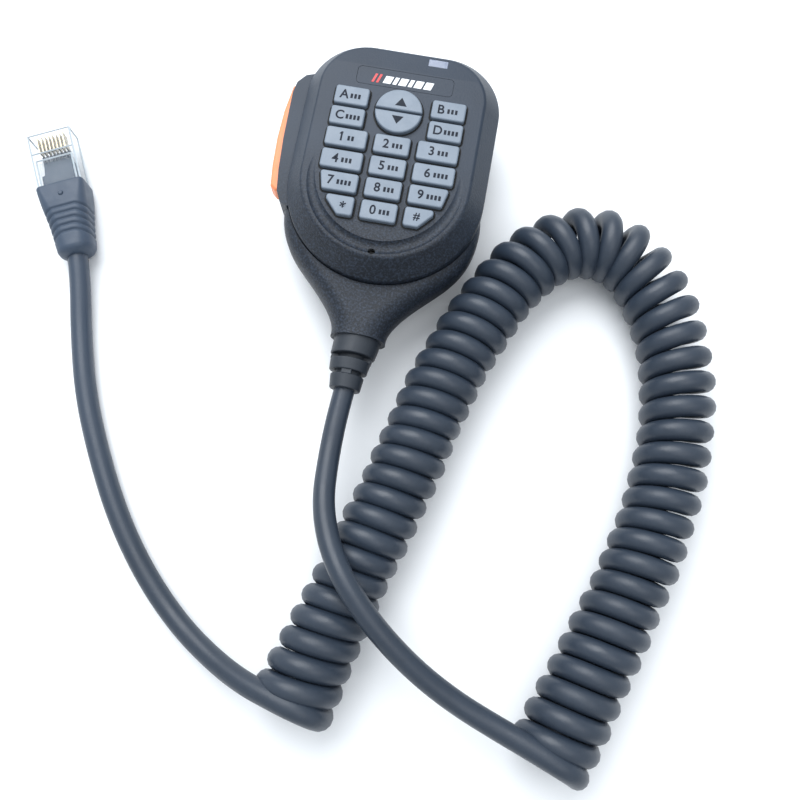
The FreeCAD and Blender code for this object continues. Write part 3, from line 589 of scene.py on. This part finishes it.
def housing_edge_glints():
    """Thin light grey strips along the clear housing's edges: painted reflection where the edges catch the
    light.
    """
    w, t, front, rear = 5.8, 3.2, 36.65, 20.3
    runs = [((-w, rear, t), (-w, front, t)), ((w, rear, t), (w, front, t)), ((w, rear, -t), (w, front, -t)),
            ((-w, front, t), (w, front, t)),
            ((-w, front, -t), (-w, front, t)), ((w, front, -t), (w, front, t)), ((-w, 30.9, t), (w, 30.9, t)),
            ((-4.9, 28.6, t), (4.9, 28.6, t)),
            ((-4.9, rear, t), (-4.9, 28.6, t)), ((4.9, rear, t), (4.9, 28.6, t))]
    pieces = []
    for a, b in runs:
        a, b = Vector(a), Vector(b)
        along = (b - a).normalized()
        across = along.orthogonal().normalized() * RIM_HALF
        other = along.cross(across).normalized() * RIM_HALF
        pieces.append(skin([[in_plug(*(end + across + other)), in_plug(*(end - across + other)),
                             in_plug(*(end - across - other)), in_plug(*(end + across - other))]
                            for end in (a, b)]))
    obj = mesh_object("plug_housing_edge_glints", *joined(pieces))
    return shaded(obj, "root", "clear", material="edge_glint")


# ---------------------------------------------------------------- keys
KEY_TOP = 28.1
# Each key's print: its letter, how far that stands to the side, and how many small blocks follow it.
KEY_PRINTS = {"key_a": ("A", -1.9, 3), "key_b": ("B", -1.9, 3), "key_c": ("C", -1.9, 4),
              "key_d": ("D", -1.9, 4), "key_1": ("1", -1.2, 2), "key_2": ("2", -1.5, 3),
              "key_3": ("3", -1.6, 3), "key_4": ("4", -1.6, 3), "key_5": ("5", -1.5, 3),
              "key_6": ("6", -1.6, 4), "key_7": ("7", -2.1, 4), "key_8": ("8", -1.5, 3),
              "key_9": ("9", -1.8, 4), "key_star": ("*", 0.9, 0), "key_0": ("0", -1.5, 3),
              "key_hash": ("#", -0.4, 0)}
KEY_SPOTS = {"key_a": (-12.5, 15.8), "key_b": (12.5, 15.8), "key_c": (-12.6, 9.9), "key_d": (12.6, 9.9),
             "key_1": (-11.7, 4.0), "key_2": (0.0, 4.0), "key_3": (11.7, 4.0), "key_4": (-11.7, -2.1),
             "key_5": (0.0, -2.1), "key_6": (11.7, -2.1), "key_7": (-11.2, -8.1), "key_8": (0.0, -8.1),
             "key_9": (11.2, -8.1), "key_star": (-9.9, -14.2), "key_0": (0.0, -14.2),
             "key_hash": (9.9, -14.2)}


def flat_piece(name, outlines, z, body, material, thick=0.04):
    """Thin printed shapes that lie on a level surface, each an outline of (x, y) in mm."""
    pieces = []
    for outline in outlines:
        count = len(outline)
        low = [(x * MM, y * MM, (z - 0.05) * MM) for x, y in outline]
        high = [(x * MM, y * MM, (z + thick) * MM) for x, y in outline]
        faces = [tuple(range(count, 2 * count)), tuple(reversed(range(count)))]
        faces += [(i, (i + 1) % count, count + (i + 1) % count, count + i) for i in range(count)]
        pieces.append((low + high, faces))
    obj = mesh_object(name, *joined(pieces))
    place(obj, body, smooth=False)
    paint(obj, material)
    return obj


# Half the print's thickness, and how much bolder its strokes are than the font's, in metres.
LETTER_THICK, LETTER_BOLDER = 0.00002, 0.0002
LETTER_NARROWER = 0.96


def printed_letter(name, letter, x, y, tall, body):
    """One letter or figure, lying on a key's top, its middle at x and y."""
    data = bpy.data.curves.new("draft", "FONT")
    data.body = letter
    data.size = 0.01
    data.extrude = LETTER_THICK
    data.offset = LETTER_BOLDER
    draft = bpy.data.objects.new("draft", data)
    mesh = bpy.data.meshes.new_from_object(draft)
    mesh.name = name
    bpy.data.curves.remove(data)
    low = [min(v.co[i] for v in mesh.vertices) for i in range(3)]
    high = [max(v.co[i] for v in mesh.vertices) for i in range(3)]
    factor = tall * MM / (high[1] - low[1])
    for v in mesh.vertices:
        v.co = ((v.co.x - (low[0] + high[0]) / 2) * factor * LETTER_NARROWER + x * MM,
                (v.co.y - (low[1] + high[1]) / 2) * factor + y * MM,
                v.co.z + (KEY_TOP + 0.01) * MM)
    obj = bpy.data.objects.new(name, mesh)
    place(obj, body, smooth=False)
    paint(obj, "legend")
    return obj


BLOCK_WIDE, BLOCK_TALL = 0.62, 1.25


def key_prints():
    for node, (letter, shift, blocks) in KEY_PRINTS.items():
        x, y = KEY_SPOTS[node]
        tall = {"*": 1.8, "#": 2.1}.get(letter, 2.5)
        printed_letter("print_" + node, letter, x + shift, y + 0.1, tall, node + "_cap")
        outlines = []
        for i in range(blocks):
            left = x + shift + 1.6 + 0.98 * i
            right = left + BLOCK_WIDE
            low = y - 0.85
            high = low + BLOCK_TALL
            outlines.append([(left, low), (right, low), (right, high), (left, high)])
        if outlines:
            flat_piece("blocks_" + node, outlines, KEY_TOP, node + "_cap", "legend")
    flat_piece("flag_key_1", [[(-13.0, 5.35), (-12.6, 5.35), (-12.6, 4.95), (-13.45, 4.6), (-13.45, 4.9)]],
               KEY_TOP, "key_1_cap", "legend")
    flat_piece("arrow_up", [[(-1.2, 15.0), (1.8, 15.0), (0.3, 17.3)]], KEY_TOP, "key_up_cap", "legend")
    flat_piece("arrow_down", [[(0.05, 9.9), (1.55, 12.1), (-1.45, 12.1)]], KEY_TOP, "key_down_cap", "legend")


def hull(points):
    """Outline around points of a plane, counter-clockwise."""
    points = sorted(set(points))
    sides = []
    for order in (points, points[::-1]):
        side = []
        for p in order:
            while len(side) > 1 and ((side[-1][0] - side[-2][0]) * (p[1] - side[-2][1])
                                     - (side[-1][1] - side[-2][1]) * (p[0] - side[-2][0])) <= 0:
                side.pop()
            side.append(p)
        sides += side[:-1]
    return sides


def grown(outline, gap):
    """An outline with rounded corners, moved outwards."""
    result = []
    count = len(outline)
    for i, (x, y) in enumerate(outline):
        ax, ay = outline[i - 1]
        bx, by = outline[(i + 1) % count]
        one = Vector((y - ay, ax - x)).normalized()
        two = Vector((by - y, x - bx)).normalized()
        out = (one + two).normalized()
        result.append((x + out.x * gap, y + out.y * gap))
    return result


FACE_TOP = 26.8


def key_gap_shades():
    """Painted shade of the gaps around the keys: dark rims on the face around each key's opening."""
    for name, obj in nodes.items():
        if not name.startswith("key_"):
            continue
        points = [(round(v.co.x / MM, 3), round(v.co.y / MM, 3)) for v in obj.data.vertices
                  if 26.0 < v.co.z / MM < 27.9]
        outline = hull(points)
        inner, outer = grown(outline, 0.12), grown(outline, 0.5)
        count = len(outline)
        z = (FACE_TOP + 0.03) * MM
        rings = [(x * MM, y * MM, z) for x, y in inner] + [(x * MM, y * MM, z) for x, y in outer]
        faces = [(i, count + i, count + (i + 1) % count, (i + 1) % count) for i in range(count)]
        shade_rim = mesh_object("shade_rim_" + name, rings, faces)
        place(shade_rim)
        paint(shade_rim, "painted_gap_shade")


# ---------------------------------------------------------------- nameplate's mark
def mark():
    """Generic mark of slanted bars, two of them red."""
    def bar(left, right, low, high, slant=0.32):
        return [(left + low * slant, 22.5 + low), (right + low * slant, 22.5 + low),
                (right + high * slant, 22.5 + high), (left + high * slant, 22.5 + high)]
    red = [bar(-8.2, -7.6, -1.2, 1.3), bar(-7.0, -6.4, -1.2, 1.3)]
    white = [bar(left, left + width, -1.05, 1.05)
             for left, width in ((-5.3, 2.0), (-2.8, 1.0), (-1.3, 2.0), (1.2, 1.0), (2.7, 2.0), (5.2, 2.0))]
    flat_piece("mark_bars_red", red, FACE_TOP, "root", "mark_red", 0.05)
    flat_piece("mark_bars_white", white, FACE_TOP, "root", "mark_white", 0.05)


# ---------------------------------------------------------------- the pieces
cord = make_cord()
relief = strain_relief()
boot_pieces = plug_boot() + [housing_edge_glints()]
key_prints()
key_gap_shades()
mark()


# ---------------------------------------------------------------- light and floor
def lamp(name, energy, at, towards, size, colour=(1, 1, 1)):
    """A square area light."""
    data = bpy.data.lights.new(name, "AREA")
    data.energy = energy
    data.color = colour
    data.shape = "SQUARE"
    data.size = size
    obj = bpy.data.objects.new(name, data)
    obj.location = at
    obj.rotation_mode = "QUATERNION"
    obj.rotation_quaternion = (Vector(towards) - Vector(at)).to_track_quat("-Z", "Y")
    scene.collection.objects.link(obj)


def studio():
    world = bpy.data.worlds.new("studio")
    world.use_nodes = True
    background = world.node_tree.nodes["Background"]
    background.inputs["Color"].default_value = (0.9, 0.95, 1.0, 1.0)
    background.inputs["Strength"].default_value = 0.75
    scene.world = world
    lamp("key_light", 12.0, (-0.3, 0.45, 0.8), (0.0, -0.05, 0.0), size=0.85, colour=(0.96, 0.98, 1.0))
    lamp("fill_light", 2.0, (0.3, -0.2, 0.9), (0.0, -0.05, 0.0), size=0.7)
    half = 1.6
    floor = mesh_object("floor", [(-half, -half, 0), (half, -half, 0), (half, half, 0), (-half, half, 0)],
                        [(0, 1, 2, 3)])
    scene.collection.objects.link(floor)
    mat, _, _ = shader("floor", (0.9, 0.92, 0.94, 1.0), 0.6, specular=0.2)
    floor.data.materials.append(mat)
    scene.view_settings.view_transform = "Standard"


studio()
